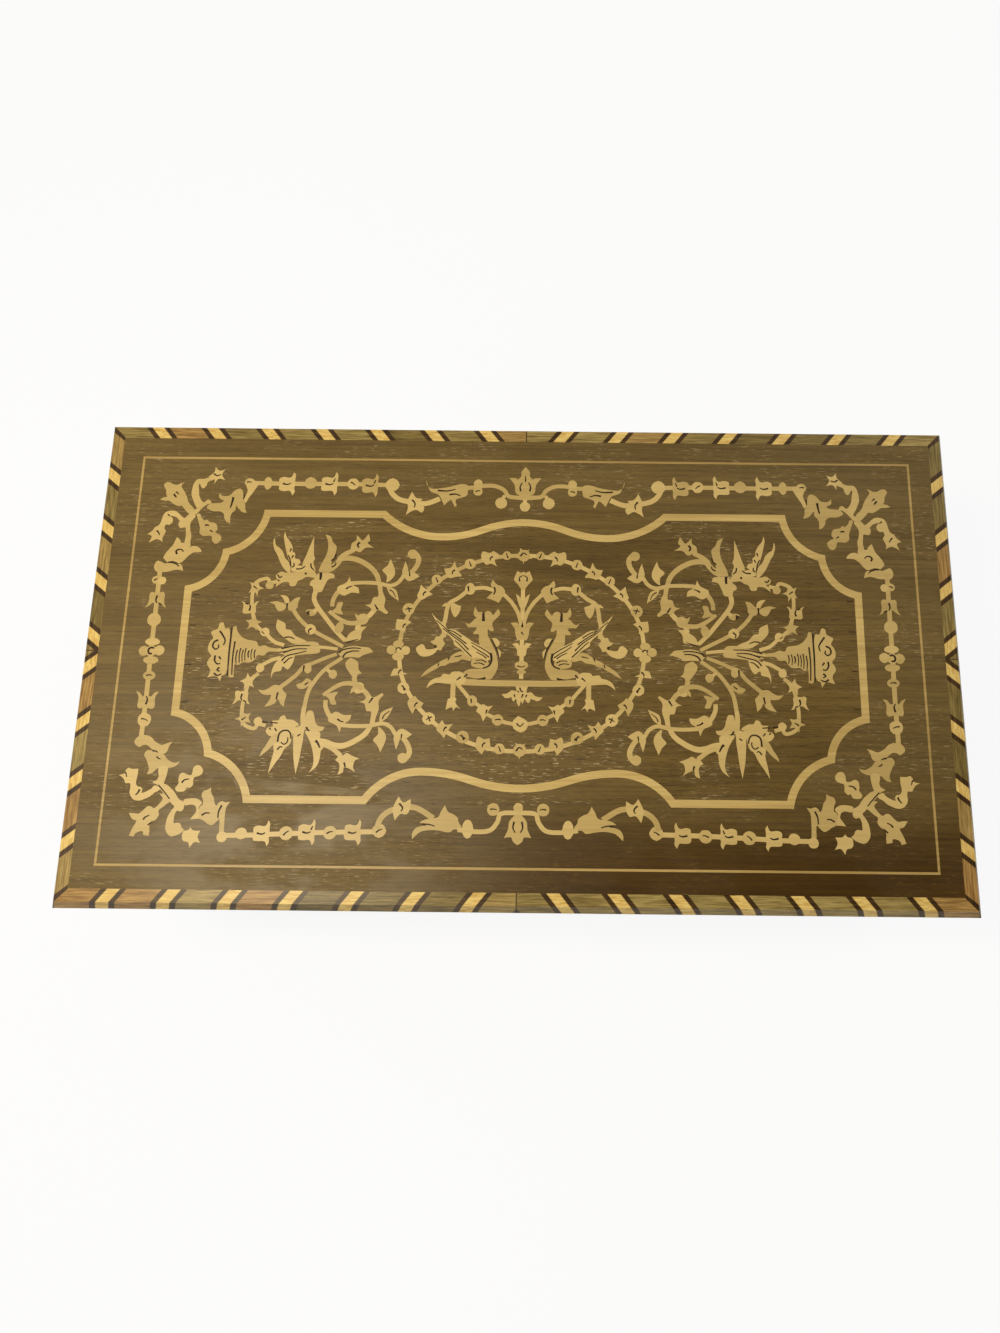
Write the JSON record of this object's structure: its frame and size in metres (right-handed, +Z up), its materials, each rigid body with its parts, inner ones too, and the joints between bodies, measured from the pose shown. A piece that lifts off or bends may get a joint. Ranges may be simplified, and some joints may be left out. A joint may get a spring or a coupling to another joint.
{
  "type": "musical jewelry box",
  "caption": "Rectangular wooden jewelry box with an inlaid, banded hinged lid, a lined inside with compartments and ring rolls, and a wind-up cylinder music movement.",
  "frame": {"origin": "centre of the footprint, on the surface the feet stand on", "axes": "+X along the length to the right, +Y to the hinges at the back, +Z up"},
  "size_m": [0.359, 0.203, 0.119],
  "materials": {
    "walnut": "lacquered walnut, satin",
    "poplar": "plain sanded board",
    "walnut_veneer": "lacquered walnut veneer with open pores",
    "banding_wood": "lacquered blocks of several woods",
    "maple_inlay": "lacquered pale inlay, yellowed",
    "velvet": "red velvet on card",
    "satin": "padded red satin",
    "felt": "green felt",
    "brass": "satin brass",
    "steel": "brushed",
    "mirror": "silvered glass",
    "glass": "clear"
  },
  "bodies": {
    "case": {"front_wall": "walnut", "back_wall": "walnut", "left_wall": "walnut", "right_wall": "walnut", "bottom_board": "poplar", "plinth_mouldings": "walnut", "bun_feet": "walnut", "foot_felts": "felt", "floor_lining": "velvet", "wall_linings": "velvet", "compartment_dividers": "velvet", "movement_partitions": "velvet", "ring_roll_base": "velvet", "ring_rolls": "velvet", "cover_frame": "walnut", "cover_glass": "glass", "cover_battens": "poplar", "hinge_case_leaves": "brass", "hinge_pins": "brass", "lock_body": "steel", "escutcheon": "brass", "movement_bedplate": "steel", "movement_pillars": "brass", "movement_screws": "steel", "comb": "steel", "comb_rest": "brass", "comb_screws": "steel", "cylinder_bearings": "brass", "barrel_bridge": "brass", "governor_bracket": "brass", "stop_guide": "brass"},
    "lid": {"lid_board": "poplar", "edge_bandings": "banding_wood", "lid_veneer": "walnut_veneer", "stringing_line": "maple_inlay", "cartouche_band": "maple_inlay", "lid_front_rail": "walnut", "lid_back_rail": "walnut", "lid_side_rails": "walnut", "hinge_lid_leaves": "brass", "lock_strike": "brass", "mirror": "mirror", "mirror_frame": "walnut", "lid_lining": "satin"},
    "bolt": {"lock_bolt": "brass"},
    "barrel": {"great_wheel": "brass", "spring_drum": "steel"},
    "winding": {"winding_arbor": "steel", "winding_key": "brass"},
    "cylinder_set": {"cylinder": "brass", "cylinder_arbor": "steel", "cylinder_wheel": "brass"},
    "second_set": {"second_arbor": "steel", "worm_wheel": "brass"},
    "governor": {"governor_worm": "steel", "governor_fan": "brass"},
    "stop": {"stop_pin": "steel"}
  },
  "joints": [
    {"name": "lid_hinge", "type": "hinge", "parent": "case", "child": "lid", "pos_m": [0, 0.0975, 0.0982], "axis": [-1, 0, 0], "range_deg": [0, 95]},
    {"name": "lock_slide", "type": "slide", "parent": "case", "child": "bolt", "axis": [1, 0, 0], "range_m": [0, 0.005]},
    {"name": "barrel_spin", "type": "hinge", "parent": "case", "child": "barrel", "pos_m": [0.0965, 0.05, 0.045], "axis": [0, 0, 1], "continuous": true},
    {"name": "key_turn", "type": "hinge", "parent": "case", "child": "winding", "pos_m": [0.0965, 0.05, 0.02], "axis": [0, 0, 1], "continuous": true},
    {"name": "cylinder_spin", "type": "hinge", "parent": "case", "child": "cylinder_set", "pos_m": [0.13, 0.05, 0.0473], "axis": [1, 0, 0], "continuous": true},
    {"name": "second_spin", "type": "hinge", "parent": "case", "child": "second_set", "pos_m": [0.15, 0.06, 0.0473], "axis": [1, 0, 0], "continuous": true},
    {"name": "governor_spin", "type": "hinge", "parent": "case", "child": "governor", "pos_m": [0.1509, 0.0682, 0.05], "axis": [0, 0, 1], "continuous": true},
    {"name": "stop_lift", "type": "slide", "parent": "case", "child": "stop", "axis": [0, 0, 1], "range_m": [0, 0.004]}
  ],
  "couplings": [
    {"joint": "cylinder_spin", "follows": "barrel_spin", "ratio": 3},
    {"joint": "second_spin", "follows": "barrel_spin", "ratio": -12},
    {"joint": "governor_spin", "follows": "barrel_spin", "ratio": 240},
    {"joint": "stop_lift", "follows": "lid_hinge", "m_per_rad": 0.00241}
  ]
}
